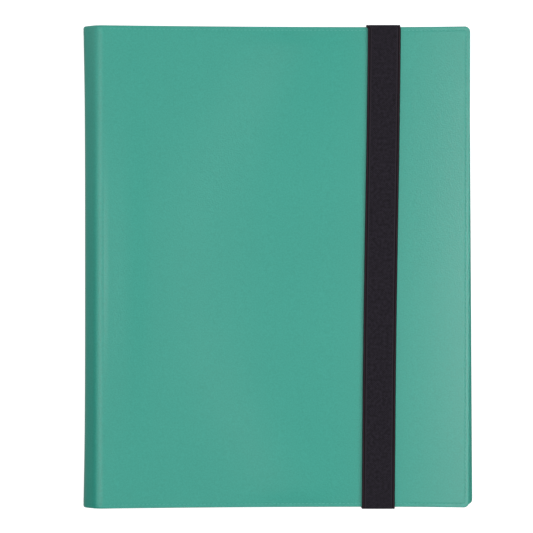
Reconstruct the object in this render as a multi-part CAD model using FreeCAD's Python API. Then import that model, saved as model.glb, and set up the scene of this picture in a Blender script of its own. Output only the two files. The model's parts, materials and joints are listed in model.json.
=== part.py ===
import FreeCAD, Part
import math
import os

from FreeCAD import Vector

# A collecting album with pocket pages, closed and lying on its back cover.
# +X runs from the spine to the fore edge, +Y to the head, +Z out of the front cover.
# All sizes are in millimetres.

# Closed album
cover_height = 310.0       # head to tail
album_width = 252.3        # spine to the furthest corner of the back cover
spine_thickness = 25.0     # height of the round spine
front_setback = 3.2        # the front cover's furthest corner from the back cover's
back_lean = 0.34           # degrees, the back cover reaches further at its tail
front_lean = -0.12         # degrees, the front cover reaches further at its head
fore_edge_spring = 4.0     # the front cover rises again from the strap to the fore edge
corner_radius = 3.5        # fore-edge corners of both covers

# Cover sheets: a skin with a welded rim, a stiffening board and a lining
skin_thickness = 0.7
board_space = 0.9
lining_thickness = 0.4
weld_border = 4.0
board_gap = 0.3            # board to rim
board_play = 0.05          # board to skin and to lining

# Hinge lines scored between the spine and the covers
spine_arc = 90.0           # degrees of the round spine between its two hinge lines
hinge_clearance = 0.06     # round the bead of a hinge line
hinge_relief = 0.09        # outer lip held back so that a cover folds right round

# Pocket leaves
leaf_count = 20
leaf_pitch = 0.45
core_thickness = 0.2
film_thickness = 0.1
root_thickness = 0.1       # thin flexing strip beside the binding
root_length = 5.0
root_depth = 5.2           # leaf roots inside the spine's outer face
root_proud = 0.12          # leaf roots stand off the binding strip
leaf_head_margin = 11.0    # leaves end inside the covers' head and tail
leaf_fore_margin = 13.5    # leaves end inside the front cover's fore edge
leaf_corner = 4.0
page_ease = 2.3            # spare height for the leaves under the strap
leaf_lift = 0.25           # last leaf above the back cover's lining, at its fore edge
pocket_rows = 3
pocket_columns = 3
film_margin = 3.0          # film set in from the leaf's edges
slit_width = 0.8           # side-loading mouth of a pocket
slit_inset = 4.0           # mouth from the pocket's inner edge
slit_shortfall = 9.0       # mouth shorter than its pocket

# Elastic strap
strap_width = 21.3
strap_thickness = 1.2
strap_position = 191.8     # strap's middle from the spine
strap_lean = 0.704         # degrees, its head end nearer the fore edge
strap_ease = 0.3           # above the front cover
strap_edge_gap = 0.08      # beside the covers' head and tail edges
strap_bend = 1.6           # outer radius where it folds over the edges
tab_insert = 3.7           # strap end held in the back cover's rim
tab_side_gap = 0.2
tab_seat_gap = 0.02

# Sizes that follow
cover_thickness = skin_thickness + board_space + lining_thickness
spine_radius = spine_thickness / 2
spine_left = -album_width / 2
back_fore = album_width / 2
front_fore = back_fore - front_setback
spine_centre = Vector(spine_left + spine_radius, 0, spine_radius)
half_height = cover_height / 2

leaf_thickness = core_thickness + 2 * film_thickness
stack_height = (leaf_count - 1) * leaf_pitch + leaf_thickness
strap_x = spine_left + strap_position
strap_rise = 2 * cover_thickness + stack_height + page_ease

# The front cover leaves the round spine, sags in one arc to the strap and springs up again.
sag_run = strap_x - spine_centre.x
sag_step = strap_rise - spine_centre.z
sag_radius = (sag_run ** 2 + sag_step ** 2 - spine_radius ** 2) / (2 * (spine_radius - sag_step))
sag_centre = Vector(strap_x, 0, strap_rise + sag_radius)
cover_fall = math.degrees(math.atan2(sag_run, sag_centre.z - spine_centre.z))
spring_run = front_fore - strap_x
spring_radius = (spring_run ** 2 + fore_edge_spring ** 2) / (2 * fore_edge_spring)
spring_centre = Vector(strap_x, 0, strap_rise + spring_radius)
spring_sweep = math.degrees(math.asin((spring_run + cover_thickness) / spring_radius))

# Polar angles of the two hinge lines about the spine's centre
side_arc = (180 + cover_fall - spine_arc) / 2
back_hinge = 270 - side_arc
front_hinge = back_hinge - spine_arc
bead_radius = skin_thickness / 2
hinge_reach = spine_radius - bead_radius

# Leaf roots on the binding strip, and the fall of the page block towards the fore edge
root_x = spine_left + root_depth
strip_face = root_x - root_proud
leaf_length = front_fore - leaf_fore_margin - root_x
leaf_height = cover_height - 2 * leaf_head_margin
root_drop = spine_centre.z - stack_height / 2 - cover_thickness - leaf_lift
leaf_slope = math.degrees(math.asin(root_drop / leaf_length))


def line(start, end):
    """A straight edge."""
    return Part.makeLine(start, end)


def prism(edges, depth):
    """A closed outline drawn square to Y, given depth along Y on both sides of the middle."""
    face = Part.Face(Part.Wire(Part.__sortEdges__(edges)))
    solid = face.extrude(Vector(0, depth, 0))
    solid.translate(Vector(0, -depth / 2, 0))
    return solid


class Bend:
    """A stretch of cover along an arc. Depth runs inwards from the outer face.

    side is 1 where the outer face is away from the centre and -1 where it is towards it.
    """

    def __init__(self, centre, radius, side, start, end):
        self.centre = centre
        self.radius = radius
        self.side = side
        self.start = start
        self.end = end

    def at(self, angle, depth):
        reach = self.radius - self.side * depth
        turn = math.radians(angle)
        return self.centre + Vector(reach * math.cos(turn), 0, reach * math.sin(turn))

    def root(self, depth):
        return self.at(self.start, depth)

    def tip(self, depth):
        return self.at(self.end, depth)

    def edge(self, depth):
        middle = self.at((self.start + self.end) / 2, depth)
        return Part.Arc(self.root(depth), middle, self.tip(depth)).toShape()


class Flat:
    """A flat stretch of the back cover between two places along X."""

    def __init__(self, start, end):
        self.start = start
        self.end = end

    def root(self, depth):
        return Vector(self.start, 0, depth)

    def tip(self, depth):
        return Vector(self.end, 0, depth)

    def edge(self, depth):
        return line(self.root(depth), self.tip(depth))


def round_spine(start, end):
    return Bend(spine_centre, spine_radius, 1, start, end)


back_round = round_spine(back_hinge, 270)
back_flat = Flat(spine_centre.x, back_fore)
front_round = round_spine(front_hinge, 90 - cover_fall)
front_sag = Bend(sag_centre, sag_radius, -1, 270 - cover_fall, 270)
front_spring = Bend(spring_centre, spring_radius, -1, 270, 270 + spring_sweep)


def sheet(chain, outer, inner, width, beaded=False):
    """A sheet of cover between two depths, with a round bead on its first edge if asked."""
    edges = [part.edge(outer) for part in chain] + [part.edge(inner) for part in chain]
    edges.append(line(chain[-1].tip(outer), chain[-1].tip(inner)))
    first = chain[0].root(outer)
    last = chain[0].root(inner)
    if beaded:
        away = (chain[0].at(chain[0].start, 0) - chain[0].at(chain[0].end, 0)).normalize()
        normal = (first - last).normalize()
        along = (away - normal * away.dot(normal)).normalize()
        nose = (first + last) / 2 + along * (first - last).Length / 2
        edges.append(Part.Arc(first, nose, last).toShape())
    else:
        edges.append(line(first, last))
    return prism(edges, width)


def outline(fore, lean, start, inset):
    """A tall block with a cover's outline seen from above, set in from its edges, to trim sheets to.

    The fore edge leans by so many degrees, and fore is where its furthest corner would be.
    """
    half = half_height - inset
    slope = math.tan(math.radians(lean))
    edge = fore - inset / math.cos(math.radians(lean))
    tail = edge - slope * inset if lean > 0 else edge + slope * (cover_height - inset)
    head = tail - slope * 2 * half
    tall = 2 * spine_thickness
    corners = [Vector(start, -half, -tall), Vector(tail, -half, -tall),
               Vector(head, half, -tall), Vector(start, half, -tall)]
    return Part.Face(Part.makePolygon(corners + corners[:1])).extrude(Vector(0, 0, 2 * tall))


def rounded(block):
    """The same block with its two fore corners rounded."""
    corners = []
    for edge in block.Edges:
        upright = abs(edge.tangentAt(edge.FirstParameter).z) > 0.99
        if upright and edge.CenterOfMass.x > 0:
            corners.append(edge)
    return block.makeFillet(corner_radius, corners)


def cover_layers(bends, panel, fore, lean):
    """Skin with a hinge bead and a welded rim, the board inside it and the lining over both."""
    rim_depth = skin_thickness + board_space
    start = panel[0].root(0).x + weld_border
    cover = rounded(outline(fore, lean, 2 * spine_left, 0))
    room = outline(fore, lean, start, weld_border)
    board_room = outline(fore, lean, start + board_gap, weld_border + board_gap)
    skin = sheet(bends + panel, 0, skin_thickness, cover_height, beaded=True)
    rim = sheet(panel, skin_thickness, rim_depth, cover_height).cut(room)
    skin = skin.fuse(rim).common(cover).removeSplitter()
    board = sheet(panel, skin_thickness + board_play, rim_depth - board_play, cover_height)
    board = board.common(board_room)
    lining = sheet(panel, rim_depth, cover_thickness, cover_height).common(cover)
    return skin, board, lining


def tab_box(end, side_gap, insert):
    """The space of one strap end in the back cover's rim, at the head (1) or the tail (-1)."""
    middle = strap_x + end * half_height * math.tan(math.radians(strap_lean))
    width = strap_width + 2 * side_gap
    reach = insert + strap_edge_gap + strap_thickness
    box = Part.makeBox(width, reach, board_space)
    near = half_height - insert if end > 0 else -half_height - strap_edge_gap - strap_thickness
    box.translate(Vector(middle - width / 2, near, skin_thickness))
    return box


def strap_tabs():
    """Two flattened strap ends, each with its outer lower edge rounded."""
    tabs = []
    for end in (1, -1):
        tab = tab_box(end, 0, tab_insert)
        outer = end * (half_height + strap_edge_gap + strap_thickness)
        edges = []
        for edge in tab.Edges:
            middle = edge.CenterOfMass
            if abs(middle.y - outer) < 0.01 and abs(middle.z - skin_thickness) < 0.01:
                edges.append(edge)
        tabs.append(tab.makeFillet(board_space / 2, edges))
    return Part.makeCompound(tabs)


def elastic_strap():
    """One ribbon: up from the tail, folded over both cover edges and leaning across the front."""
    lean = math.tan(math.radians(strap_lean))
    left = strap_x - strap_width / 2

    def point(y, z):
        return Vector(left + y * lean, y, z)

    def run(reach, top, radius):
        """The outer or the inner line of the ribbon, from the tail's leg to the head's leg."""
        foot = skin_thickness + board_space + tab_seat_gap
        slant = radius * (1 - math.sqrt(0.5))
        tail = [point(-reach, foot), point(-reach, top - radius), point(-reach + radius, top)]
        head = [point(reach - radius, top), point(reach, top - radius), point(reach, foot)]
        tail_fold = point(-reach + slant, top - slant)
        head_fold = point(reach - slant, top - slant)
        return [line(tail[0], tail[1]),
                Part.Arc(tail[1], tail_fold, tail[2]).toShape(),
                line(tail[2], head[0]),
                Part.Arc(head[0], head_fold, head[1]).toShape(),
                line(head[1], head[2])]

    inner_reach = half_height + strap_edge_gap
    outer_reach = inner_reach + strap_thickness
    inner_top = strap_rise + strap_ease
    outer = run(outer_reach, inner_top + strap_thickness, strap_bend)
    inner = run(inner_reach, inner_top, strap_bend - strap_thickness)
    feet = []
    for outer_leg, inner_leg, vertex in ((outer[0], inner[0], 0), (outer[-1], inner[-1], 1)):
        feet.append(line(outer_leg.Vertexes[vertex].Point, inner_leg.Vertexes[vertex].Point))
    face = Part.Face(Part.Wire(Part.__sortEdges__(outer + inner + feet)))
    return face.extrude(Vector(strap_width, 0, 0))


def spine_skin():
    """The round spine between its hinge lines, with a concave seat for each cover's bead."""
    seat = bead_radius + hinge_clearance
    inner_radius = spine_radius - skin_thickness
    lip = math.degrees((seat + hinge_relief) / spine_radius)
    toe = math.degrees(math.sqrt(seat ** 2 - bead_radius ** 2) / inner_radius)
    outer = round_spine(back_hinge - lip, front_hinge + lip)
    inner = round_spine(back_hinge - toe, front_hinge + toe)
    edges = [outer.edge(0), inner.edge(skin_thickness)]
    ends = ((back_hinge, -1, outer.root(0), inner.root(skin_thickness)),
            (front_hinge, 1, outer.tip(0), inner.tip(skin_thickness)))
    for hinge, turn, outer_end, inner_end in ends:
        axis = outer.at(hinge, bead_radius)
        along = Vector(-math.sin(math.radians(hinge)), 0, math.cos(math.radians(hinge))) * turn
        floor = axis + along * seat
        halfway = (along + (inner_end - axis).normalize()).normalize()
        edges.append(line(outer_end, floor))
        edges.append(Part.Arc(floor, axis + halfway * seat, inner_end).toShape())
    return prism(edges, cover_height)


def binding_strip():
    """A strip that fills the round of the spine behind the leaf roots."""
    inner_radius = spine_radius - skin_thickness
    half = stack_height / 2 + leaf_pitch
    spread = math.degrees(math.asin(half / inner_radius))
    back = Bend(spine_centre, inner_radius, 1, 180 + spread, 180 - spread)
    low = Vector(strip_face, 0, back.root(0).z)
    high = Vector(strip_face, 0, back.tip(0).z)
    edges = [back.edge(0), line(back.root(0), low), line(low, high), line(high, back.tip(0))]
    return prism(edges, leaf_height)


def leaf_frame(shape, number):
    """Moves a leaf drawn flat along +X from its root to its place in the page block."""
    rise = ((leaf_count + 1) / 2 - number) * leaf_pitch
    shape.rotate(Vector(0, 0, 0), Vector(0, 1, 0), leaf_slope)
    shape.translate(Vector(root_x, 0, spine_centre.z + rise))
    return shape


def leaf_core():
    """A stiff sheet with a thinner, round-ended root."""
    thin = root_thickness / 2
    thick = core_thickness / 2
    upper = [Vector(0, 0, thin), Vector(root_length, 0, thin),
             Vector(root_length, 0, thick), Vector(leaf_length, 0, thick)]
    lower = [Vector(point.x, 0, -point.z) for point in reversed(upper)]
    corners = upper + lower
    edges = [line(start, end) for start, end in zip(corners, corners[1:])]
    edges.append(Part.Arc(lower[-1], Vector(-thin, 0, 0), upper[0]).toShape())
    core = prism(edges, leaf_height)
    fore = [edge for edge in core.Edges
            if abs(edge.CenterOfMass.x - leaf_length) < 0.01 and abs(edge.CenterOfMass.z) < 0.01]
    return core.makeFillet(leaf_corner, fore)


def pocket_film(side):
    """One sheet of pocket film, on the upper (1) or the lower (-1) face of a leaf."""
    start = root_length + film_margin
    width = (leaf_length - film_margin - start) / pocket_columns
    height = (leaf_height - 2 * film_margin) / pocket_rows
    base = core_thickness / 2 if side > 0 else -core_thickness / 2 - film_thickness
    film = Part.makeBox(width * pocket_columns, height * pocket_rows, film_thickness)
    film.translate(Vector(start, -height * pocket_rows / 2, base))
    mouths = []
    for column in range(pocket_columns):
        for row in range(pocket_rows):
            mouth = Part.makeBox(slit_width, height - slit_shortfall, 3 * film_thickness)
            low = (row - pocket_rows / 2) * height + slit_shortfall / 2
            mouth.translate(Vector(start + column * width + slit_inset, low, base - film_thickness))
            mouths.append(mouth)
    return film.cut(Part.makeCompound(mouths))


def build():
    """Every piece of the album by its name."""
    back_skin, back_board, back_lining = cover_layers([back_round], [back_flat], back_fore, back_lean)
    front = cover_layers([front_round], [front_sag, front_spring], front_fore, front_lean)
    for end in (1, -1):
        back_skin = back_skin.cut(tab_box(end, tab_side_gap, weld_border))
    pieces = {
        "back_cover_skin": back_skin,
        "back_board": back_board,
        "back_lining": back_lining,
        "spine_skin": spine_skin(),
        "binding_strip": binding_strip(),
        "front_cover_skin": front[0],
        "front_board": front[1],
        "front_lining": front[2],
        "elastic_strap": elastic_strap(),
        "strap_end_tabs": strap_tabs(),
    }
    for number in range(1, leaf_count + 1):
        films = Part.makeCompound([pocket_film(1), pocket_film(-1)])
        pieces["leaf_%02d_core" % number] = leaf_frame(leaf_core(), number)
        pieces["leaf_%02d_pockets" % number] = leaf_frame(films, number)
    return pieces


os.makedirs("parts", exist_ok=True)
for name, shape in build().items():
    shape.exportStep(os.path.join("parts", name + ".step"))
print("strap_rise", round(strap_rise, 3), "cover_fall", round(cover_fall, 3),
      "leaf_slope", round(leaf_slope, 3), "leaf", round(leaf_length, 2), "x", leaf_height)
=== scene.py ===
# %% [markdown]
# # A collecting album with an elastic strap
#
# The album is one soft plastic sheet folded round a block of pocket leaves, held shut by a wide black
# strap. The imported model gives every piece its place. Blender adds what the solids leave plain: the
# sheet's rounded rim, its seam and gentle swell, the weave of the strap, and the finish of each material.

# %% Load the frame
import json
import math
import bpy
import numpy as np
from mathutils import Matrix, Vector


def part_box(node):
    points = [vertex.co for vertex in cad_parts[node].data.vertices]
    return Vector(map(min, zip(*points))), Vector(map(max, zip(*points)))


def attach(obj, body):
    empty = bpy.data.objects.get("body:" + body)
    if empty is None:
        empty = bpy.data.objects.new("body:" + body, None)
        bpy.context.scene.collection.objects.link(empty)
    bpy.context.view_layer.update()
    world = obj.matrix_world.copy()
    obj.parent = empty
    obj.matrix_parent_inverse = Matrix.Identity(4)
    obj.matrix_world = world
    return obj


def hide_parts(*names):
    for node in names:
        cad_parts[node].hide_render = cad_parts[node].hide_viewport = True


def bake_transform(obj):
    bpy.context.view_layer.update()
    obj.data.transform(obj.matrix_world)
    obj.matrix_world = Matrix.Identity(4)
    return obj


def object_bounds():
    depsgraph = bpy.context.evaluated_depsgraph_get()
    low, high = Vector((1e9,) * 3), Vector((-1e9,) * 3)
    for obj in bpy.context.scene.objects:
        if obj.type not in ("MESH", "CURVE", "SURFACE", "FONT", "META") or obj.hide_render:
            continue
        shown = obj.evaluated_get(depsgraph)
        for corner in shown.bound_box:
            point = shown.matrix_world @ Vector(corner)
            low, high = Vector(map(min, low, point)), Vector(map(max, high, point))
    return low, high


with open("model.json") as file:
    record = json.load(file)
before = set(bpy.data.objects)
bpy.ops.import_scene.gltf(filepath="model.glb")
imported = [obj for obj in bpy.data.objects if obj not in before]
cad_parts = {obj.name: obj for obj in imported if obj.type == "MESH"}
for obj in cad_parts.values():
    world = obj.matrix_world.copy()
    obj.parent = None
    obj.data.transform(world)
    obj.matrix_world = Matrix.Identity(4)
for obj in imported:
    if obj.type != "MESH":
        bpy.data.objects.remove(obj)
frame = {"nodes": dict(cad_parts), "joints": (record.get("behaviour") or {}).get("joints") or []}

cad_low, cad_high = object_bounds()
print("frame:", len(frame["nodes"]), "nodes,", [round(1000 * side, 1) for side in cad_high - cad_low], "mm")

# %% [markdown]
# The album lies on its back cover, with +X to the fore edge, +Y to the head and +Z out of the front
# cover. Sizes that the solids already hold are read from their boxes, so the scene can't drift from the
# frame. Only what a box can't tell, such as the lean of an edge, is written here, in metres.

# %% Sizes read from the frame
MM = 0.001
back_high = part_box("back_cover_skin")[1]
front_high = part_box("front_cover_skin")[1]
strap_low, strap_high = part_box("elastic_strap")
half_height = back_high.y
spine_radius = front_high.z / 2
spine_x = cad_low.x + spine_radius
spine_z = spine_radius
skin_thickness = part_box("strap_end_tabs")[0].z
rim_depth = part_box("back_lining")[0].z
cover_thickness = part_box("back_lining")[1].z
strap_x = (strap_low.x + strap_high.x) / 2
strap_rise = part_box("front_lining")[0].z + cover_thickness

back_lean = math.radians(0.34)
front_lean = math.radians(-0.12)
fore_edge_spring = 4.0 * MM
corner_radius = 3.5 * MM
weld_border = 4.0 * MM
strap_thickness = 1.2 * MM
strap_width = 21.3 * MM
strap_lean = math.tan(math.radians(0.704))
print("spine radius %.2f mm, strap line at %.2f mm" % (1000 * spine_radius, 1000 * strap_rise))

# %% [markdown]
# Seen from the tail, the cover is a chain of three arcs on the front: the round spine, a long sag down to
# the strap, and a short spring up to the fore edge. Each arc meets the next with no kink, so two radii
# follow from the places that the arcs have to reach. The back is the same round spine and then flat.
# Places round the spine are told by their angle about its middle, in degrees.

# %% The arcs of the cover
sag_run = strap_x - spine_x
sag_step = strap_rise - spine_z
sag_radius = (sag_run ** 2 + sag_step ** 2 - spine_radius ** 2) / (2 * (spine_radius - sag_step))
cover_fall = math.atan2(sag_run, strap_rise + sag_radius - spine_z)
front_fore = front_high.x
back_fore = back_high.x
spring_run = front_fore - strap_x
spring_radius = (spring_run ** 2 + fore_edge_spring ** 2) / (2 * fore_edge_spring)
front_start = spine_x + spine_radius * math.sin(cover_fall)
back_start = spine_x
front_top_angle = 90 - math.degrees(cover_fall)
hinge_points = {joint["name"]: joint["pos_m"] for joint in frame["joints"] if "pos_m" in joint}


def round_angle(point):
    """Polar angle of a point about the spine's middle, in degrees."""
    return math.degrees(math.atan2(point[2] - spine_z, point[0] - spine_x)) % 360


lower_angle = round_angle(hinge_points["spine_hinge"])
upper_angle = round_angle(hinge_points["front_cover_hinge"])
print("sag radius %.0f mm, spring radius %.0f mm" % (1000 * sag_radius, 1000 * spring_radius))
print("hinge lines at %.1f and %.1f degrees round the spine" % (lower_angle, upper_angle))

# %% [markdown]
# The sheet, the lining, the leaves and the binding are all moulded or rolled plastic with a fine sandy
# grain. A grain that several finishes share is built once, as a node group, and each material sets its
# own sizes. It reads Object coordinates, so the grain keeps its real size on every piece.

# %% The shared grain
def add_node(tree, kind, **values):
    """A new node with its inputs set by name."""
    made = tree.nodes.new(kind)
    for name, value in values.items():
        made.inputs[name.replace("_", " ")].default_value = value
    return made


def plastic_grain_group():
    """Fine grain and slow clouding over a plastic surface."""
    tree = bpy.data.node_groups.new("plastic_grain", "ShaderNodeTree")
    for name in ("Grain Scale", "Cloud Scale"):
        tree.interface.new_socket(name=name, in_out="INPUT", socket_type="NodeSocketFloat")
    for name in ("Grain", "Cloud"):
        tree.interface.new_socket(name=name, in_out="OUTPUT", socket_type="NodeSocketFloat")
    start = tree.nodes.new("NodeGroupInput")
    end = tree.nodes.new("NodeGroupOutput")
    place = tree.nodes.new("ShaderNodeTexCoord")
    for name, detail in (("Grain", 3.0), ("Cloud", 2.0)):
        noise = add_node(tree, "ShaderNodeTexNoise", Detail=detail, Roughness=0.55)
        tree.links.new(place.outputs["Object"], noise.inputs["Vector"])
        tree.links.new(start.outputs[name + " Scale"], noise.inputs["Scale"])
        tree.links.new(noise.outputs["Fac"], end.inputs[name])
    return tree


grain_group = plastic_grain_group()
print("grain group:", len(grain_group.nodes), "nodes")

# %% [markdown]
# A material is a small chain of nodes in front of one Principled shader. A few helpers keep such chains
# short: one for sums, one that carries a value from one range to another, one for a colour ramp and one
# for relief. With them, each grained plastic is two close tones mixed by the grain, a range of roughness
# and a low relief. Where the sheet is bent round the spine it is stretched, and so it is a little more
# matte there.

# %% The plastic of the cover
cloud_scale = 14.0
cloud_share = 0.12
bent_zone = 9 * MM


def new_material(name):
    """An empty material, its node tree and its Principled shader."""
    material = bpy.data.materials.new(name)
    material.use_nodes = True
    return material, material.node_tree, material.node_tree.nodes["Principled BSDF"]


def worked_out(tree, operation, *terms):
    """The result of a Math node whose terms are sockets or plain numbers."""
    node = tree.nodes.new("ShaderNodeMath")
    node.operation = operation
    for socket, term in zip(node.inputs, terms):
        if isinstance(term, (int, float)):
            socket.default_value = term
        else:
            tree.links.new(term, socket)
    return node.outputs["Value"]


def ranged(tree, value, from_low, from_high, low, high):
    """A value carried from one range to another, and held at its ends."""
    node = add_node(tree, "ShaderNodeMapRange", From_Min=from_low, From_Max=from_high,
                    To_Min=low, To_Max=high)
    tree.links.new(value, node.inputs["Value"])
    return node.outputs["Result"]


def spread(tree, noise, low, high):
    """A noise, which lies from 0.3 to 0.7 nearly everywhere, spread over another range."""
    return ranged(tree, noise, 0.3, 0.7, low, high)


def tone_ramp(tree, value, stops):
    """Colour and Alpha along a value, from (position, colour) pairs."""
    ramp = tree.nodes.new("ShaderNodeValToRGB")
    elements = ramp.color_ramp.elements
    while len(elements) < len(stops):
        elements.new(0.5)
    for element, (position, colour) in zip(elements, stops):
        element.position = position
        element.color = (*colour, 1.0)[:4]
    tree.links.new(value, ramp.inputs["Fac"])
    return ramp.outputs


def raised(tree, shader, height, distance):
    """Feeds a height to the shader's Normal through a Bump node."""
    bump = add_node(tree, "ShaderNodeBump", Distance=distance, Strength=1.0)
    tree.links.new(height, bump.inputs["Height"])
    tree.links.new(bump.outputs["Normal"], shader.inputs["Normal"])


def grained_plastic(name, dark, light, grain_scale, grain_height, roughness, bent_matte=0.0):
    """A grained plastic between two close tones, more matte where it is bent round the spine if asked."""
    material, tree, shader = new_material(name)
    grain = add_node(tree, "ShaderNodeGroup")
    grain.node_tree = grain_group
    grain.inputs["Grain Scale"].default_value = grain_scale
    grain.inputs["Cloud Scale"].default_value = cloud_scale
    cloud = worked_out(tree, "MULTIPLY", grain.outputs["Cloud"], cloud_share)
    mixed = worked_out(tree, "MULTIPLY_ADD", grain.outputs["Grain"], 1 - cloud_share, cloud)
    tone = tone_ramp(tree, mixed, [(0.32, dark), (0.68, light)])["Color"]
    tree.links.new(tone, shader.inputs["Base Color"])
    gloss = spread(tree, grain.outputs["Grain"], *roughness)
    if bent_matte:
        place = tree.nodes.new("ShaderNodeTexCoord")
        split = tree.nodes.new("ShaderNodeSeparateXYZ")
        tree.links.new(place.outputs["Object"], split.inputs["Vector"])
        bent = ranged(tree, split.outputs["X"], spine_x, spine_x + bent_zone, bent_matte, 0.0)
        gloss = worked_out(tree, "ADD", gloss, bent)
    tree.links.new(gloss, shader.inputs["Roughness"])
    raised(tree, shader, grain.outputs["Grain"], grain_height)
    return material


cover_plastic = grained_plastic("cover_plastic", (0.0195, 0.248, 0.191), (0.0285, 0.295, 0.228),
                                1100.0, 0.1 * MM, (0.32, 0.42), 0.08)
print(cover_plastic.name + ":", len(cover_plastic.node_tree.nodes), "nodes")

# %% [markdown]
# The lining is the cover's plastic with less gloss, and the leaves and the binding strip are black. The
# stiffening board is pressed paper. Its fibres look much like a coarse matte grain, so the same function
# serves for it too.

# %% The other plastics, and the board
lining_plastic = grained_plastic("lining_plastic", (0.022, 0.255, 0.196), (0.029, 0.290, 0.224),
                                 900.0, 0.04 * MM, (0.55, 0.68))
leaf_plastic = grained_plastic("leaf_plastic", (0.010, 0.010, 0.011), (0.016, 0.016, 0.018),
                               700.0, 0.02 * MM, (0.42, 0.55))
binding_plastic = grained_plastic("binding_plastic", (0.012, 0.012, 0.013), (0.020, 0.020, 0.022),
                                  500.0, 0.03 * MM, (0.45, 0.6))
grey_board = grained_plastic("grey_board", (0.26, 0.23, 0.19), (0.37, 0.33, 0.27),
                             1200.0, 0.06 * MM, (0.75, 0.9))
finishes = (lining_plastic, leaf_plastic, binding_plastic, grey_board)
print("finishes:", [finish.name for finish in finishes])

# %% [markdown]
# The cover sheet is the main piece. It could be a bent plane with Solidify and Bevel, but the rim needs
# an exact thickness, a rounded edge and a shallow channel for the seam, at set distances from the
# outline. So the sheet is written as a grid: columns follow the arcs, rows run from tail to head, and
# each point goes in by a depth that depends on how far it is from the edge. The rows crowd together at
# the rim, where the shape is finest.

# %% Rows, columns and the depth of the sheet
edge_round = 0.55 * MM
bent_roll = 1.4 * MM
seam_inset = 2.3 * MM
seam_channel = 0.06 * MM
seam_channel_width = 0.5 * MM
row_step = 6 * MM
rim_steps = np.array([0, 0.03, 0.09, 0.18, 0.3, 0.43, 0.55, 0.8, 1.1, 1.4, 1.65, 1.9, 2.1, 2.3,
                      2.5, 2.7, 2.95, 3.2, 3.5, 3.95, 4.05, 5.0, 7.0]) * MM


def crowded(start, end, step, at_start, at_end):
    """Places from start to end, with the rim's finer steps at the ends that ask for them."""
    low = start + rim_steps if at_start else np.array([start])
    high = end - rim_steps[::-1] if at_end else np.array([end])
    count = max(2, int(round((high[0] - low[-1]) / step)))
    middle = np.linspace(low[-1], high[0], count + 1)[1:-1]
    return np.concatenate([low, middle, high])


rows = crowded(-half_height, half_height, row_step, True, True)


def edge_distance(from_fore, from_head):
    """Distance to the cover's outline, round its fore corners as well."""
    corner = corner_radius - np.hypot(np.maximum(corner_radius - from_fore, 0),
                                      np.maximum(corner_radius - from_head, 0))
    inside = (from_fore < corner_radius) & (from_head < corner_radius)
    return np.maximum(np.where(inside, corner, np.minimum(from_fore, from_head)), 0)


def outer_depth(distance, bent_share):
    """How far the outer face goes in at a distance from the outline, more gently where it is bent."""
    run = edge_round + bent_share * bent_roll
    short = np.clip(1 - distance / run, 0, 1)
    roll = edge_round * (1 - np.sqrt(1 - short ** 2))
    channel = seam_channel * np.exp(-((distance - seam_inset) / seam_channel_width) ** 2)
    return roll + channel


print("rows from tail to head:", len(rows))

# %% [markdown]
# The front panel isn't quite smooth. Soft sheet that is welded all round swells a little, and the light
# shows it: a low ridge stands beside the spine at half height, and past it one wide swell rises and fades
# out before the strap. The swell starts further from the spine toward the head and the tail. Sculpting
# could give such a form, but a formula keeps it smooth, and next to nothing at the rim, so the sheet still
# meets its neighbours. It only goes outward, because the board lies close behind the sheet.

# %% The swell of the front panel
swell_height = 0.5 * MM
swell_start = -58 * MM
swell_shift = 58 * MM
swell_slope = 22 * MM
swell_end_growth = 1.1
swell_half_length = 140 * MM
strap_margin = 12 * MM
fade_run = 80 * MM
fade_cut_at_head = 28 * MM
fade_cut_at_tail = 12 * MM
rim_calm = 8 * MM
ridge_height = 0.33 * MM
ridge_width = 30 * MM
ridge_half_length = 90 * MM


def belly(x, y, distance):
    """How far the front panel stands out of its plain arcs, at a distance from its rim."""
    level = (y / swell_half_length) ** 2
    rise = swell_start + swell_shift * level
    swell = 1 + np.tanh((x - rise) / swell_slope)
    run = fade_run - np.where(y > 0, fade_cut_at_head, fade_cut_at_tail) * level
    fade = np.clip((strap_x - strap_margin - x) / run, 0, 1)
    calm = fade ** 2 * (3 - 2 * fade) * np.clip(distance / rim_calm, 0, 1) ** 2
    along = np.clip((x - front_start) / ridge_width, 0, 1)
    ridge = ridge_height * np.sin(np.pi * along) ** 2 * np.exp(-(y / ridge_half_length) ** 2)
    return swell_height * (1 + swell_end_growth * level) * calm * swell + ridge


swell_line = belly(np.linspace(front_start, strap_x, 100), 0 * MM, half_height)
print("swell at half height: %.2f mm" % (1000 * swell_line.max()))

# %% [markdown]
# The two covers are not cut quite square: the photograph shows the back cover's fore edge leaning out at
# the tail, and the front cover's the other way. A lean is a small stretch of the columns, more at one end
# than at the other. Round corners draw the last columns in. Each face is a function, so the seam can use
# it again later.

# %% The front and the back face as functions
def leaned(x, y, start, fore, lean):
    """Columns stretched so that the fore edge leans, its furthest corner staying where it is."""
    furthest = -half_height if lean > 0 else half_height
    edge = fore - math.tan(lean) * (y - furthest)
    return start + (x - start) * (edge - start) / (fore - start)


def shrunk(y, from_fore):
    """Rows drawn in where the fore corners are round."""
    short = np.clip(corner_radius - from_fore, 0, corner_radius)
    drop = corner_radius - np.sqrt(corner_radius ** 2 - short ** 2)
    return y * (1 - drop / half_height)


def front_face(columns, lines):
    """Points, outward directions and edge distance over the front cover's outer face."""
    x, y = np.broadcast_arrays(columns, lines)
    y = shrunk(y, front_fore - x)
    distance = edge_distance(front_fore - x, half_height - np.abs(y))
    x = leaned(x, y, front_start, front_fore, front_lean)
    radius = np.where(x < strap_x, sag_radius, spring_radius)
    tilt = np.arcsin((x - strap_x) / radius)
    points = np.stack([x, y, strap_rise + radius * (1 - np.cos(tilt))], -1)
    outward = np.stack([-np.sin(tilt), 0 * y, np.cos(tilt)], -1)
    points = points + belly(x, y, distance)[..., None] * outward
    return points, outward, distance


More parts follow.
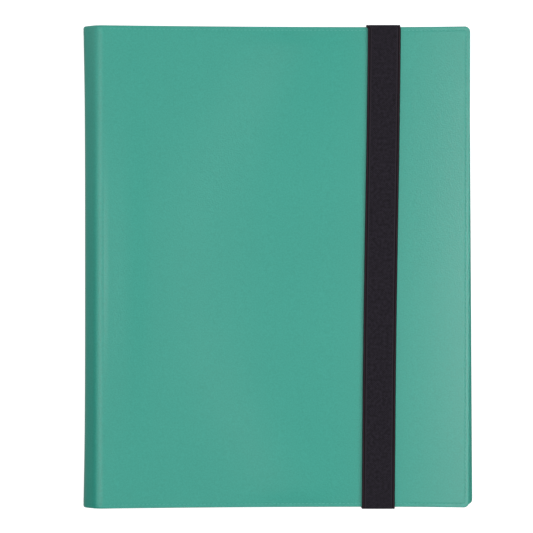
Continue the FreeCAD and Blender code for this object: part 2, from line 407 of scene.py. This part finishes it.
def back_face(columns, lines):
    """The same over the back cover's outer face, which lies flat on the table."""
    x, y = np.broadcast_arrays(columns, lines)
    y = shrunk(y, back_fore - x)
    distance = edge_distance(back_fore - x, half_height - np.abs(y))
    x = leaned(x, y, back_start, back_fore, back_lean)
    points = np.stack([x, y, 0 * x], -1)
    outward = np.zeros_like(points)
    outward[..., 2] = -1
    return points, outward, distance


print("fore edge of the back cover leans %.1f mm" % (1000 * 2 * half_height * math.tan(back_lean)))

# %% [markdown]
# The spine isn't a plain tube either. Between the head and the tail, where nothing fills it, the sheet is
# drawn in to a slight waist, and it flares at the ends. The two scored hinge lines press it a little
# flatter. Both are small shifts of the points on a round arc, because a bend or a lattice would also move
# the covers beside it.

# %% The round face of the spine
spine_waist = 0.65 * MM
spine_flare = 0.5 * MM
flare_sharpness = 3.6
side_sharpness = 1.5
hinge_press = 0.55 * MM
press_reach = 25.0


def round_face(columns, lines):
    """The same round the spine, for polar angles in degrees."""
    angle, y = np.broadcast_arrays(np.radians(columns), lines)
    outward = np.stack([np.cos(angle), 0 * y, np.sin(angle)], -1)
    points = np.stack([spine_x + spine_radius * outward[..., 0], y,
                       spine_z + spine_radius * outward[..., 2]], -1)
    level = np.abs(y) / half_height
    inset = spine_waist - (spine_waist + spine_flare) * level ** flare_sharpness
    points[..., 0] += inset * np.clip(-outward[..., 0], 0, 1) ** side_sharpness
    for hinge in (lower_angle, upper_angle):
        away = np.clip((np.degrees(angle) - hinge) / press_reach, -1, 1)
        points -= outward * (hinge_press * (1 - away ** 2) ** 2)[..., None]
    return points, outward, half_height - np.abs(y)


print("waist %.2f mm in, flare %.2f mm out" % (1000 * spine_waist, 1000 * spine_flare))

# %% [markdown]
# A sheet has an outer grid, an inner grid and four narrow walls between them. Solidify could make the
# walls, but the depth changes at the rim. Written as faces, the sheet is closed, and its edges can be
# marked sharp by the angle between their faces, so that the rim stays crisp and the panel smooth.

# %% From two grids to a closed sheet
sharp_angle = math.radians(42)


def finish_mesh(name, points, faces, material):
    """A mesh object at the origin, smooth except where its faces meet at a steep angle."""
    mesh = bpy.data.meshes.new(name)
    mesh.from_pydata([tuple(point) for point in points], [], faces)
    mesh.validate()
    mesh.shade_smooth()
    mesh.set_sharp_from_angle(angle=sharp_angle)
    mesh.materials.append(material)
    piece = bpy.data.objects.new(name, mesh)
    bpy.context.scene.collection.objects.link(piece)
    return piece


def closed_sheet(name, outer, inner, material):
    """A closed sheet from an outer and an inner grid of points, columns first."""
    columns, lines = outer.shape[:2]
    points = np.concatenate([outer.reshape(-1, 3), inner.reshape(-1, 3)])
    upper = np.arange(columns * lines).reshape(columns, lines)
    lower = upper + columns * lines

    def quads(a, b, c, d):
        return np.stack([a, b, c, d], -1).reshape(-1, 4).tolist()

    faces = quads(upper[:-1, :-1], upper[1:, :-1], upper[1:, 1:], upper[:-1, 1:])
    faces += quads(lower[:-1, :-1], lower[:-1, 1:], lower[1:, 1:], lower[1:, :-1])
    faces += quads(upper[:-1, 0], lower[:-1, 0], lower[1:, 0], upper[1:, 0])
    faces += quads(upper[:-1, -1], upper[1:, -1], lower[1:, -1], lower[:-1, -1])
    faces += quads(upper[0, :-1], upper[0, 1:], lower[0, 1:], lower[0, :-1])
    faces += quads(upper[-1, :-1], lower[-1, :-1], lower[-1, 1:], upper[-1, 1:])
    return finish_mesh(name, points, faces, material)


print("sheet %.2f mm thick, %.2f mm at its rim" % (1000 * skin_thickness, 1000 * rim_depth))

# %% [markdown]
# Each sheet is cut into columns. Round the spine a column comes at every degree or so. On a panel they
# are wider apart, and close together at the fore edge. The rim is a step of the inner grid: two columns
# stand close together on either side of its wall.

# %% Columns and grids of a sheet
column_turn = 1.1
column_step = 4 * MM
first_step = 0.02 * MM
wall_half = 0.05 * MM


def sheet_grids(face, columns, inner_depth, bent_share):
    """The outer and the inner grid over some columns of a face."""
    points, outward, distance = face(np.asarray(columns)[:, None], rows[None, :])
    depth = outer_depth(distance, np.asarray(bent_share)[:, None])
    inner = inner_depth(np.asarray(columns)[:, None], rows[None, :], distance)
    return points - outward * depth[..., None], points - outward * inner[..., None]


def skin_only(columns, lines, distance):
    """The sheet's plain thickness, as round the spine."""
    return skin_thickness + 0 * distance


def arc_columns(start, end):
    """Polar angles at steps of about a degree."""
    return np.linspace(start, end, int(abs(start - end) / column_turn) + 2)


def panel_columns(start, fore, extra):
    """Columns of a cover panel from the round spine to the fore edge."""
    wall = start + weld_border
    rim = [start + first_step, wall - wall_half, wall + wall_half]
    return np.unique(np.concatenate([crowded(start, fore, column_step, False, True)[1:], rim, extra]))


def flattening(columns, start):
    """How bent the sheet still is past the round spine, from 1 to 0."""
    return 1 - np.clip((columns - start) / (2 * weld_border), 0, 1)


front_columns = panel_columns(front_start, front_fore, [])
print("columns over the front panel:", len(front_columns))

# %% [markdown]
# The front cover's sheet starts on the round spine, halfway between the upper hinge line and the top, and
# runs to the fore edge. Its panel has the full depth of the rim for 4 mm all round, and is a thin skin
# inside that, over the stiffening board. The grids of the bend and of the panel are joined end to end, so
# that there is no seam in the sheet. Two bent planes would have to be welded there.

# %% The front cover
def front_depth(columns, lines, distance):
    """Rim all round, and a thin skin over the stiffening board."""
    rim = (distance < weld_border) | (columns < front_start + weld_border)
    return np.where(rim, rim_depth, skin_thickness)


front_split = (upper_angle + front_top_angle) / 2
spine_split = (upper_angle + lower_angle) / 2
back_split = (lower_angle + 270) / 2

front_arc = arc_columns(front_split, front_top_angle)
arc_grids = sheet_grids(round_face, front_arc, skin_only, 0 * front_arc + 1)
panel_grids = sheet_grids(front_face, front_columns, front_depth, flattening(front_columns, front_start))
front_sheet = closed_sheet("front_sheet", *[np.concatenate(pair) for pair in zip(arc_grids, panel_grids)],
                           cover_plastic)
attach(front_sheet, "front_cover")
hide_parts("front_cover_skin")
print("front sheet:", len(front_sheet.data.polygons), "faces")

# %% [markdown]
# The back cover has the same rim, with a slot at the head and one at the tail where the strap's ends are
# held. The slots could be cut with a Boolean, but in a grid it is enough to leave the rim thin between a
# few more columns.

# %% The back cover
tab_clearance = 0.2 * MM
tab_half = strap_width / 2 + tab_clearance
slot_wall_half = 0.04 * MM
slot_reach = 1.02 * weld_border
tab_middles = {1: strap_x + half_height * strap_lean, -1: strap_x - half_height * strap_lean}


def back_depth(columns, lines, distance):
    """As the front's, with the strap's two slots left thin."""
    rim = (distance < weld_border) | (columns < back_start + weld_border)
    for end, middle in tab_middles.items():
        slot = (np.abs(columns - middle) < tab_half) & (end * lines > half_height - slot_reach)
        rim = rim & ~slot
    return np.where(rim, rim_depth, skin_thickness)


slot_walls = [middle + side * (tab_half + gap) for middle in tab_middles.values()
              for side in (-1, 1) for gap in (-slot_wall_half, slot_wall_half)]
back_columns = panel_columns(back_start, back_fore, slot_walls)[::-1]
back_arc = arc_columns(270, back_split)
panel_grids = sheet_grids(back_face, back_columns, back_depth, flattening(back_columns, back_start))
arc_grids = sheet_grids(round_face, back_arc, skin_only, 0 * back_arc + 1)
back_sheet = closed_sheet("back_sheet", *[np.concatenate(pair) for pair in zip(panel_grids, arc_grids)],
                          cover_plastic)
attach(back_sheet, "back_cover")
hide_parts("back_cover_skin")
print("back sheet:", len(back_sheet.data.polygons), "faces")

# %% [markdown]
# Round the spine, the sheet crosses two scored hinge lines. Each half of the spine is a strip of its own,
# round one hinge line.


def hinge_strip(name, start, end):
    """A strip of sheet round the spine, over one hinge line."""
    columns = arc_columns(start, end)
    strip = closed_sheet(name, *sheet_grids(round_face, columns, skin_only, 0 * columns + 1), cover_plastic)
    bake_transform(strip)
    return strip


lower_spine = hinge_strip("lower_spine", back_split, spine_split)
upper_spine = hinge_strip("upper_spine", spine_split, front_split)
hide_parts("spine_skin")
print("spine strips:", len(lower_spine.data.polygons), "and", len(upper_spine.data.polygons), "faces")

# %% [markdown]
# A fine dashed seam closes the rim of each cover, in the cover's colour, one dash every 2.6 mm. It
# repeats and follows a path, so Geometry Nodes lay it: a line set in from the edge is cut into equal
# lengths, and a small rounded dash goes on each point, turned along the line and square to the sheet.

# %% A node tree that lays dashes along a line
dash_segments = 8
dash_rings = 5


def seam_tree():
    """Dashes along a line of edges whose points know the direction out of the sheet."""
    tree = bpy.data.node_groups.new("seam_dashes", "GeometryNodeTree")
    sockets = [("Line", "NodeSocketGeometry"), ("Pitch", "NodeSocketFloat"), ("Length", "NodeSocketFloat"),
               ("Width", "NodeSocketFloat"), ("Height", "NodeSocketFloat"), ("Thread", "NodeSocketMaterial")]
    for name, kind in sockets:
        tree.interface.new_socket(name=name, in_out="INPUT", socket_type=kind)
    tree.interface.new_socket(name="Dashes", in_out="OUTPUT", socket_type="NodeSocketGeometry")
    start = tree.nodes.new("NodeGroupInput")
    end = tree.nodes.new("NodeGroupOutput")

    curve = tree.nodes.new("GeometryNodeMeshToCurve")
    tree.links.new(start.outputs["Line"], curve.inputs["Mesh"])
    even = tree.nodes.new("GeometryNodeResampleCurve")
    even.mode = "LENGTH"
    tree.links.new(curve.outputs["Curve"], even.inputs["Curve"])
    tree.links.new(start.outputs["Pitch"], even.inputs["Length"])

    dash = tree.nodes.new("GeometryNodeMeshUVSphere")
    dash.inputs["Segments"].default_value = dash_segments
    dash.inputs["Rings"].default_value = dash_rings
    dash.inputs["Radius"].default_value = 0.5
    size = tree.nodes.new("ShaderNodeCombineXYZ")
    for axis, name in zip("XYZ", ("Length", "Width", "Height")):
        tree.links.new(start.outputs[name], size.inputs[axis])
    shaped = tree.nodes.new("GeometryNodeTransform")
    tree.links.new(dash.outputs["Mesh"], shaped.inputs["Geometry"])
    tree.links.new(size.outputs["Vector"], shaped.inputs["Scale"])

    along = tree.nodes.new("FunctionNodeAlignRotationToVector")
    along.axis = "X"
    tree.links.new(tree.nodes.new("GeometryNodeInputTangent").outputs["Tangent"], along.inputs["Vector"])
    upright = tree.nodes.new("FunctionNodeAlignRotationToVector")
    upright.axis = "Z"
    upright.pivot_axis = "X"
    outward = tree.nodes.new("GeometryNodeInputNamedAttribute")
    outward.data_type = "FLOAT_VECTOR"
    outward.inputs["Name"].default_value = "outward"
    tree.links.new(along.outputs["Rotation"], upright.inputs["Rotation"])
    tree.links.new(outward.outputs["Attribute"], upright.inputs["Vector"])

    laid = tree.nodes.new("GeometryNodeInstanceOnPoints")
    tree.links.new(even.outputs["Curve"], laid.inputs["Points"])
    tree.links.new(shaped.outputs["Geometry"], laid.inputs["Instance"])
    tree.links.new(upright.outputs["Rotation"], laid.inputs["Rotation"])
    real = tree.nodes.new("GeometryNodeRealizeInstances")
    tree.links.new(laid.outputs["Instances"], real.inputs["Geometry"])
    smooth = tree.nodes.new("GeometryNodeSetShadeSmooth")
    tree.links.new(real.outputs["Geometry"], smooth.inputs["Geometry"])
    painted = tree.nodes.new("GeometryNodeSetMaterial")
    tree.links.new(smooth.outputs["Geometry"], painted.inputs["Geometry"])
    tree.links.new(start.outputs["Thread"], painted.inputs["Material"])
    tree.links.new(painted.outputs["Geometry"], end.inputs["Dashes"])
    return tree


dashes = seam_tree()
print("seam tree:", len(dashes.nodes), "nodes")

# %% [markdown]
# The seam's line goes along the head, down the fore edge with its round corners, and back along the tail.
# There is none along the spine. Its points come from the cover's own face function, so the dashes follow
# the swell and the spring of the sheet. The modifier's result is made a plain mesh before it joins a
# body.

# %% The seams of the two covers
seam_thread = grained_plastic("seam_thread", (0.050, 0.300, 0.240), (0.062, 0.335, 0.270),
                              4000.0, 0.03 * MM, (0.45, 0.6))
line_steps = 120
corner_steps = 7
dash_values = {"Pitch": 2.63 * MM, "Length": 1.9 * MM, "Width": 0.55 * MM, "Height": 0.15 * MM,
               "Thread": seam_thread}


def seam_line(start, fore):
    """Plan points of a seam: along the head, round the fore corners and back along the tail."""
    centre_x = fore - corner_radius
    centre_y = half_height - corner_radius
    reach = corner_radius - seam_inset
    turn = np.radians(np.linspace(90, 0, corner_steps))
    head_x = np.linspace(start + weld_border, centre_x, line_steps)
    x = np.concatenate([head_x, centre_x + reach * np.cos(turn[1:])])
    y = np.concatenate([0 * head_x + centre_y + reach, centre_y + reach * np.sin(turn[1:])])
    side = np.linspace(centre_y, -centre_y, line_steps)[1:-1]
    return np.concatenate([x, 0 * side + centre_x + reach, x[::-1]]), np.concatenate([y, side, -y[::-1]])


def seam(name, face, start, fore, body):
    """Lays the dashes of one cover's seam, as a plain mesh on the cover's body."""
    x, y = seam_line(start, fore)
    points, outward, distance = face(x, y)
    points = points - outward * seam_channel
    mesh = bpy.data.meshes.new(name + "_line")
    mesh.from_pydata([tuple(point) for point in points], [(i, i + 1) for i in range(len(points) - 1)], [])
    mesh.attributes.new("outward", "FLOAT_VECTOR", "POINT").data.foreach_set("vector", outward.ravel())
    path = bpy.data.objects.new(name + "_line", mesh)
    bpy.context.scene.collection.objects.link(path)
    modifier = path.modifiers.new("dashes", "NODES")
    modifier.node_group = dashes
    for item in dashes.interface.items_tree:
        if item.name in dash_values:
            modifier[item.identifier] = dash_values[item.name]
    evaluated = path.evaluated_get(bpy.context.evaluated_depsgraph_get())
    piece = bpy.data.objects.new(name, bpy.data.meshes.new_from_object(evaluated))
    bpy.data.objects.remove(path)
    bpy.context.scene.collection.objects.link(piece)
    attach(piece, body)
    print(name + ":", len(piece.data.polygons) // (dash_segments * dash_rings), "dashes")


seam("front_seam", front_face, front_start, front_fore, "front_cover")
seam("back_seam", back_face, back_start, back_fore, "back_cover")

# %% [markdown]
# The strap is woven elastic: fine cords run along it, weft crosses them, and a drawn-in groove runs
# beside each edge. The groove is part of its section. The weave is too fine for faces, so a node group
# makes it from two crossing waves, and the strap's own UV map, in metres, lets it turn the corners with
# the ribbon.

# %% The weave of the elastic
def elastic_weave_group():
    """Height of a plain weave, from a place across (X) and along (Y) the ribbon in metres."""
    tree = bpy.data.node_groups.new("elastic_weave", "ShaderNodeTree")
    tree.interface.new_socket(name="Place", in_out="INPUT", socket_type="NodeSocketVector")
    for name in ("Cord Pitch", "Weft Pitch"):
        tree.interface.new_socket(name=name, in_out="INPUT", socket_type="NodeSocketFloat")
    tree.interface.new_socket(name="Height", in_out="OUTPUT", socket_type="NodeSocketFloat")
    start = tree.nodes.new("NodeGroupInput")
    end = tree.nodes.new("NodeGroupOutput")
    split = tree.nodes.new("ShaderNodeSeparateXYZ")
    tree.links.new(start.outputs["Place"], split.inputs["Vector"])
    swings = []
    for axis, name in (("X", "Cord Pitch"), ("Y", "Weft Pitch")):
        turns = worked_out(tree, "DIVIDE", split.outputs[axis], start.outputs[name])
        swings.append(worked_out(tree, "SINE", worked_out(tree, "MULTIPLY", turns, math.pi)))
    weave = worked_out(tree, "MULTIPLY", *swings)
    tree.links.new(worked_out(tree, "MULTIPLY_ADD", weave, 0.5, 0.5), end.inputs["Height"])
    return tree


weave_group = elastic_weave_group()
print("weave group:", len(weave_group.nodes), "nodes")

# %% [markdown]
# Toward its edges the ribbon changes: a thread with a wine-red tinge, painted shade over the drawn-in groove
# and a paler thread lie side by side, and fade into the plain weave. A colour ramp across the width holds
# them, with its Alpha as the fade. Over the whole ribbon the weave's hollows are painted darker than its
# tops, as painted shade, and a noise adds random mottling. The strap's end tabs are hidden in the rim, so
# they get the weave alone.

# %% The finish of the elastic
cord_pitch = 0.75 * MM
weft_pitch = 0.6 * MM
weave_height = 0.1 * MM
groove_inset = 1.45 * MM
selvage_width = 2.8 * MM
# Dark and light ends of the elastic's colour: the weave's height and a random mottling noise move along
# them, so the hollows get painted shade.
elastic_tones_and_weave_shade = [(0.1, (0.003, 0.0024, 0.0044)), (0.9, (0.0195, 0.0160, 0.0230))]
# The darkest stop, at 0.52 over the drawn-in groove, is painted shade; the wine-red and paler threads are
# the ribbon's own colour.
selvage_tones_and_groove_shade = [(0.0, (0.006, 0.005, 0.007, 0.4)), (0.16, (0.012, 0.009, 0.012, 0.5)),
                 (0.28, (0.034, 0.015, 0.021, 1.0)), (0.40, (0.008, 0.005, 0.007, 1.0)),
                 (0.52, (0.003, 0.002, 0.003, 1.0)), (0.64, (0.009, 0.007, 0.010, 1.0)),
                 (0.78, (0.027, 0.021, 0.028, 0.9)), (1.0, (0.014, 0.012, 0.016, 0.0))]


def selvage(tree, where, ground):
    """The ribbon's edges: a wine-red thread, painted shade over the groove and a paler thread, fading into
    the weave.
    """
    split = tree.nodes.new("ShaderNodeSeparateXYZ")
    tree.links.new(where, split.inputs["Vector"])
    side = worked_out(tree, "ABSOLUTE", split.outputs["X"])
    inset = ranged(tree, side, strap_width / 2, strap_width / 2 - selvage_width, 0.0, 1.0)
    threads = tone_ramp(tree, inset, selvage_tones_and_groove_shade)
    mixed = tree.nodes.new("ShaderNodeMix")
    mixed.data_type = "RGBA"
    tree.links.new(threads["Alpha"], mixed.inputs["Factor"])
    tree.links.new(ground, mixed.inputs["A"])
    tree.links.new(threads["Color"], mixed.inputs["B"])
    return mixed.outputs["Result"]


def elastic_material(name, uses_uv):
    """Black woven elastic, placed by the ribbon's UV map or by Object coordinates."""
    material, tree, shader = new_material(name)
    place = tree.nodes.new("ShaderNodeUVMap" if uses_uv else "ShaderNodeTexCoord")
    where = place.outputs["UV" if uses_uv else "Object"]
    weave = tree.nodes.new("ShaderNodeGroup")
    weave.node_tree = weave_group
    weave.inputs["Cord Pitch"].default_value = cord_pitch
    weave.inputs["Weft Pitch"].default_value = weft_pitch
    tree.links.new(where, weave.inputs["Place"])
    wear = add_node(tree, "ShaderNodeTexNoise", Scale=520.0, Detail=5.0)
    tree.links.new(where, wear.inputs["Vector"])
    shade = spread(tree, wear.outputs["Fac"], -0.05, 0.55)
    # Weave tops are painted lighter than its hollows, as painted shade, over random mottling from the wear
    # noise.
    tone = worked_out(tree, "MULTIPLY_ADD", weave.outputs["Height"], 0.5, shade)
    colour = tone_ramp(tree, tone, elastic_tones_and_weave_shade)["Color"]
    if uses_uv:
        colour = selvage(tree, where, colour)
    tree.links.new(colour, shader.inputs["Base Color"])
    tree.links.new(spread(tree, wear.outputs["Fac"], 0.62, 0.78), shader.inputs["Roughness"])
    shader.inputs["Specular IOR Level"].default_value = 0.12
    raised(tree, shader, weave.outputs["Height"], weave_height)
    return material


woven_elastic = elastic_material("woven_elastic", True)
woven_tab = elastic_material("woven_tab", False)
print(woven_elastic.name + ":", len(woven_elastic.node_tree.nodes), "nodes")

# %% [markdown]
# The ribbon stands up beside the tail edge, folds over it, runs across the front with a slight lean and
# goes down again at the head. Its section is a flat band with soft edges and a drawn-in groove beside
# each. A curve with a bevel could sweep it, but written as points the grooves and the UV map come out
# exact.

# %% The path and the section of the strap
strap_ease = 0.3 * MM
strap_edge_gap = 0.08 * MM
strap_fold = 1.0 * MM
strap_foot = strap_low.z
leg_points = 14
fold_points = 13
run_points = 62
before_head_fold = np.array([2.0, 0.9, 0.45]) * MM
soft_edge = 0.5 * MM
edge_share = 0.25
groove_width = 0.14 * MM
groove_depth = 0.14 * MM


def strap_path():
    """Middle line of the ribbon as y, z and its outward direction, from the tail's foot to the head's."""
    reach = half_height + strap_edge_gap + strap_thickness / 2
    top = strap_rise + strap_ease + strap_thickness / 2
    leg = [(reach, z, 1.0, 0.0) for z in np.linspace(strap_foot, top - strap_fold, leg_points)]
    fold = []
    for turn in np.radians(np.linspace(0, 90, fold_points)[1:]):
        fold.append((reach - strap_fold * (1 - math.cos(turn)), top - strap_fold * (1 - math.sin(turn)),
                     math.cos(turn), math.sin(turn)))
    head = leg + fold
    tail = [(-y, z, -out_y, out_z) for y, z, out_y, out_z in head]
    places = np.linspace(tail[-1][0], head[-1][0], run_points)[1:-1]
    places = np.concatenate([places, head[-1][0] - before_head_fold])
    run = [(y, top, 0.0, 1.0) for y in places]
    return np.array(tail + run + head[::-1])


def strap_section():
    """Places across the ribbon and its half thickness there."""
    near_edge = np.array([0, 0.02, 0.08, 0.18, 0.32, 0.5, 0.75, 1.0, 1.15, 1.25, 1.35, 1.45, 1.55, 1.65,
                          1.75, 1.95, 2.4, 3.2, 4.4, 6.0, 8.0]) * MM
    half = strap_width / 2
    across = np.concatenate([near_edge - half, [0.0], half - near_edge[::-1]])
    edge = half - np.abs(across)
    short = np.clip(1 - edge / soft_edge, 0, 1)
    roll = np.sqrt(1 - short ** 2)
    groove = groove_depth * np.exp(-((edge - groove_inset) / groove_width) ** 2)
    return across, strap_thickness / 2 * (edge_share + (1 - edge_share) * roll) - groove


ribbon_path = strap_path()
ribbon_section = strap_section()
print("strap path:", len(ribbon_path), "points, section:", len(ribbon_section[0]), "places across")

# %% [markdown]
# The real strap is pulled tight by hand, so it isn't quite straight: it wanders by a fraction of a
# millimetre, and where it goes over the head edge it is wider and steps a little toward the spine.

# %% The strap
wander_middle = 0.19 * MM
wander_swing = 0.28 * MM
wander_start = 38 * MM
wander_half_wave = 174 * MM
fold_run = 1.2 * MM
fold_widening = 0.035
fold_shift = 0.8 * MM


def strap_object(path, across, half):
    """The ribbon as one closed mesh with a UV map in metres."""
    steps = np.hypot(np.diff(path[:, 0]), np.diff(path[:, 1]))
    length = np.concatenate([[0], np.cumsum(steps)])
    around = np.concatenate([across, across[::-1]])
    lift = np.concatenate([half, -half[::-1]])[None, :]
    y = path[:, None, 0] + path[:, None, 2] * lift
    z = path[:, None, 1] + path[:, None, 3] * lift
    wander = wander_middle + wander_swing * np.sin(np.pi * (path[:, 0] - wander_start) / wander_half_wave)
    beyond = np.clip((path[:, 0] - half_height + fold_run) / fold_run, 0, 1)
    below = np.clip((path[:, 1] - strap_foot) / (strap_rise - strap_foot), 0, 1)
    drawn = (beyond * below)[:, None]
    x = around[None, :] * (1 + fold_widening * drawn) + 0 * y
    x = x + strap_x + path[:, None, 0] * strap_lean + (wander * below)[:, None] - fold_shift * drawn
    count = len(path)
    ring = 2 * len(across)
    index = np.arange(count * ring).reshape(count, ring)
    ahead = np.roll(index, -1, axis=1)
    faces = np.stack([index[:-1], ahead[:-1], ahead[1:], index[1:]], -1).reshape(-1, 4).tolist()
    faces += [index[0, ::-1].tolist(), index[-1].tolist()]
    points = np.stack([x, y, z], -1).reshape(-1, 3)
    piece = finish_mesh("woven_strap", points, faces, woven_elastic)
    widths = np.tile(around, count)
    lengths = np.repeat(length, ring)
    layer = piece.data.uv_layers.new(name="UVMap")
    corners = np.zeros(len(piece.data.loops), np.int32)
    piece.data.loops.foreach_get("vertex_index", corners)
    layer.data.foreach_set("uv", np.stack([widths[corners], lengths[corners]], -1).ravel())
    return piece


woven_strap = strap_object(ribbon_path, *ribbon_section)
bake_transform(woven_strap)
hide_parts("elastic_strap")
print("strap:", len(woven_strap.data.polygons), "faces,", round(1000 * strap_width, 1), "mm wide")

# %% [markdown]
# A leaf's pockets are clear film, welded to the black sheet along the lines between them, where it turns
# frosted. The lines could be painted as a picture, but they lie at even steps, so a back-and-forth count
# along X and one along Y give the distance to the nearest line.

# %% Pocket film
film_low, film_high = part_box("leaf_10_pockets")
pocket_width = (film_high.x - film_low.x) / 3
pocket_height = (film_high.y - film_low.y) / 3
weld_half = 0.8 * MM
weld_fade = 0.8 * MM
weld_height = 0.1 * MM
weld_alpha = 0.5
clear_alpha = 0.14
film_tones = [(0.3, (0.70, 0.73, 0.76)), (0.7, (0.80, 0.82, 0.84))]


def film_material():
    """Clear film with frosted weld lines."""
    material, tree, shader = new_material("pocket_film_clear")
    place = tree.nodes.new("ShaderNodeTexCoord")
    split = tree.nodes.new("ShaderNodeSeparateXYZ")
    tree.links.new(place.outputs["Object"], split.inputs["Vector"])
    gaps = []
    for axis, first, size in (("X", film_low.x, pocket_width), ("Y", film_low.y, pocket_height)):
        shift = worked_out(tree, "SUBTRACT", split.outputs[axis], first)
        gaps.append(worked_out(tree, "PINGPONG", shift, size / 2))
    nearest = worked_out(tree, "MINIMUM", *gaps)
    weld = ranged(tree, nearest, weld_half, weld_half + weld_fade, weld_alpha, clear_alpha)
    haze = add_node(tree, "ShaderNodeTexNoise", Scale=30.0, Detail=3.0)
    tree.links.new(place.outputs["Object"], haze.inputs["Vector"])
    tree.links.new(weld, shader.inputs["Alpha"])
    tree.links.new(spread(tree, haze.outputs["Fac"], 0.1, 0.22), shader.inputs["Roughness"])
    tint = tone_ramp(tree, haze.outputs["Fac"], film_tones)["Color"]
    tree.links.new(tint, shader.inputs["Base Color"])
    raised(tree, shader, weld, weld_height)
    return material


pocket_film_clear = film_material()
print("pockets of %.0f x %.0f mm" % (1000 * pocket_width, 1000 * pocket_height))

# %% [markdown]
# The leaves, linings, boards, binding strip and strap ends are plain sheets whose solids are already
# right, so they keep their shape and only get a finish. The film goes on all twenty leaves.

# %% Finishes for the pieces that keep their solids
def dress(node, material):
    """Gives a solid of the frame a finish."""
    frame["nodes"][node].data.materials.clear()
    frame["nodes"][node].data.materials.append(material)


dress("front_lining", lining_plastic)
dress("back_lining", lining_plastic)
dress("front_board", grey_board)
dress("back_board", grey_board)
dress("binding_strip", binding_plastic)
dress("strap_end_tabs", woven_tab)
leaf_nodes = sorted(node for node in frame["nodes"] if node.startswith("leaf_"))
for node in leaf_nodes:
    dress(node, leaf_plastic if node.endswith("_core") else pocket_film_clear)
print("leaf pieces dressed:", len(leaf_nodes))

# %% [markdown]
# The photograph shows the album on a white ground with no shadow. A floor bright enough for that would
# also throw light up at the cover. So the floor glows for the camera alone, and a little in reflections,
# where the spine and the rims would otherwise mirror a dark table.

# %% The floor
floor_level = -0.02 * MM
floor_reach = 4.0
camera_glow = 0.9
mirrored_glow = 0.3


def floor_material():
    """White paper that glows where the camera sees it, and less in reflections."""
    material, tree, shader = new_material("white_paper")
    shader.inputs["Base Color"].default_value = (0.3, 0.3, 0.3, 1.0)
    shader.inputs["Roughness"].default_value = 0.9
    shader.inputs["Specular IOR Level"].default_value = 0.1
    shader.inputs["Emission Color"].default_value = (1.0, 1.0, 1.0, 1.0)
    seen = tree.nodes.new("ShaderNodeLightPath")
    mirrored = worked_out(tree, "MULTIPLY", seen.outputs["Is Glossy Ray"], mirrored_glow)
    glow = worked_out(tree, "MULTIPLY_ADD", seen.outputs["Is Camera Ray"], camera_glow, mirrored)
    tree.links.new(glow, shader.inputs["Emission Strength"])
    return material


def studio_floor():
    """A large flat floor just under the album."""
    corners = [(-1, -1), (1, -1), (1, 1), (-1, 1)]
    points = [(floor_reach * x, floor_reach * y, floor_level) for x, y in corners]
    return finish_mesh("studio_floor", points, [(0, 1, 2, 3)], floor_material())


studio_floor()
print("floor %.0f m wide" % (2 * floor_reach))

# %% [markdown]
# The cover in the photograph is lit evenly, with one soft gleam along the round spine. A wide ceiling
# light and two large lights past the head and the tail do most of it. A small lamp far off to the upper
# left makes the gleam on the spine and brightens the sprung fore edge, and a low one at the left shows in
# the side of the spine. The last, on the right, lights the fore edge but is kept out of reflections,
# because the panel would mirror it.

# %% Lights
sky_level = 0.06
album_middle = (0.0, 0.0, 0.0)
spine_foot = (-0.12, 0.05, 0.0)


def soft_light(name, place, aim, width, depth, power, mirrored=True):
    """A rectangular light aimed at a point, left out of reflections if asked."""
    data = bpy.data.lights.new(name, "AREA")
    data.shape = "RECTANGLE"
    data.size = width
    data.size_y = depth
    data.energy = power
    lamp = bpy.data.objects.new(name, data)
    lamp.location = place
    lamp.visible_camera = False
    lamp.visible_glossy = mirrored
    away = np.array(aim) - np.array(place)
    lamp.rotation_euler = Vector(away).to_track_quat("-Z", "Y").to_euler()
    bpy.context.scene.collection.objects.link(lamp)
    return lamp


lamps = [soft_light("ceiling", (0.0, 0.1, 2.2), album_middle, 2.0, 2.0, 6.0),
         soft_light("head_light", (0.6, 1.7, 1.3), album_middle, 1.2, 1.2, 15.4),
         soft_light("tail_light", (0.6, -1.7, 1.3), album_middle, 1.2, 1.2, 15.0),
         soft_light("left_gleam", (-1.66, -0.14, 5.8), album_middle, 0.9, 0.6, 116.0),
         soft_light("left_fill", (-0.9, 0.5, 0.35), spine_foot, 0.5, 0.35, 2.2),
         soft_light("right_fill", (1.4, 0.0, 1.0), album_middle, 0.5, 1.0, 19.0, mirrored=False)]

world = bpy.data.worlds.new("studio")
world.use_nodes = True
sky = world.node_tree.nodes["Background"]
sky.inputs["Color"].default_value = (1.0, 1.0, 1.0, 1.0)
seen = world.node_tree.nodes.new("ShaderNodeLightPath")
level = worked_out(world.node_tree, "MAXIMUM", seen.outputs["Is Camera Ray"], sky_level)
world.node_tree.links.new(level, sky.inputs["Strength"])
bpy.context.scene.world = world
bpy.context.scene.view_settings.view_transform = "Standard"
print("lights:", {lamp.name: round(lamp.data.energy, 1) for lamp in lamps})

# %% [markdown]
# The photograph looks straight down. The bow of the head and tail edges tells how far off the camera
# stood: the spine is nearer to it than the strapped part, and so it looks a little longer. The lens
# follows from the album's width in the picture.

# %% Camera
camera_height = 1.280
camera_from_spine = 118.03 * MM
camera_toward_head = 0.28 * MM

camera_data = bpy.data.cameras.new("camera")
camera_data.lens = 132.28
camera_data.sensor_width = 36.0
camera = bpy.data.objects.new("camera", camera_data)
camera.location = (cad_low.x + camera_from_spine, camera_toward_head, camera_height)
bpy.context.scene.collection.objects.link(camera)
bpy.context.scene.camera = camera
print("camera %.2f m above the table" % camera.location.z)

# %% [markdown]
# At the end the box of the solids is printed. The finished album differs from it only by small forms that
# the scene has, such as the flare at the ends of the spine.

# %% The box of the solids
print("solids:", [round(1000 * side, 2) for side in cad_high - cad_low], "mm")
